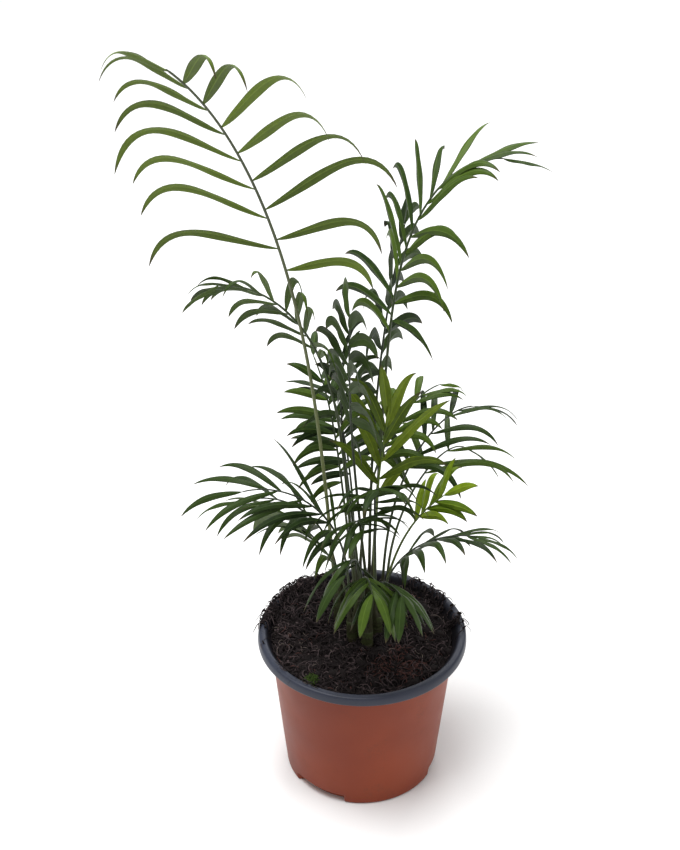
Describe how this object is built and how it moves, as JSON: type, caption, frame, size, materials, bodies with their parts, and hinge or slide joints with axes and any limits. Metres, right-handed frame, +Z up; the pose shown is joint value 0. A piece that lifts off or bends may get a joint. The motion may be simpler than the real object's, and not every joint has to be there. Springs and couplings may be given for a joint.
{
  "type": "potted parlour palm",
  "caption": "Young parlour palm in a round nursery pot: a clump of short canes with arching feather fronds, the tallest leaning well out over the rest.",
  "frame": {"origin": "centre of the pot's flat underside", "axes": "+Z up, from the underside to the highest frond; -Y towards the viewer, with the tallest frond leaning to -X and -Y"},
  "size_m": [0.2327, 0.2385, 0.514],
  "materials": {
    "pot": "thin thermoformed plastic, terracotta brown with a soft sheen",
    "pot_rim": "thin thermoformed plastic, slate grey with a soft sheen",
    "soil": "moist fibrous peat, rough and dark",
    "stem": "smooth green cane, satin",
    "frond": "leathery green leaf, slightly glossy"
  },
  "bodies": {
    "root": {"pot": "pot", "pot_rim": "pot_rim", "soil": "soil", "stem_1": "stem", "stem_2": "stem", "stem_3": "stem", "stem_4": "stem", "stem_5": "stem", "stem_6": "stem", "stem_7": "stem", "stem_8": "stem", "frond_1": "frond", "frond_2": "frond", "frond_3": "frond", "frond_4": "frond", "frond_5": "frond", "frond_6": "frond", "frond_7": "frond", "frond_8": "frond", "frond_9": "frond", "frond_10": "frond", "frond_11": "frond", "frond_12": "frond", "frond_13": "frond", "frond_14": "frond", "frond_15": "frond", "frond_16": "frond", "frond_17": "frond", "frond_18": "frond", "frond_19": "frond", "frond_20": "frond", "frond_21": "frond", "frond_22": "frond"}
  },
  "joints": []
}
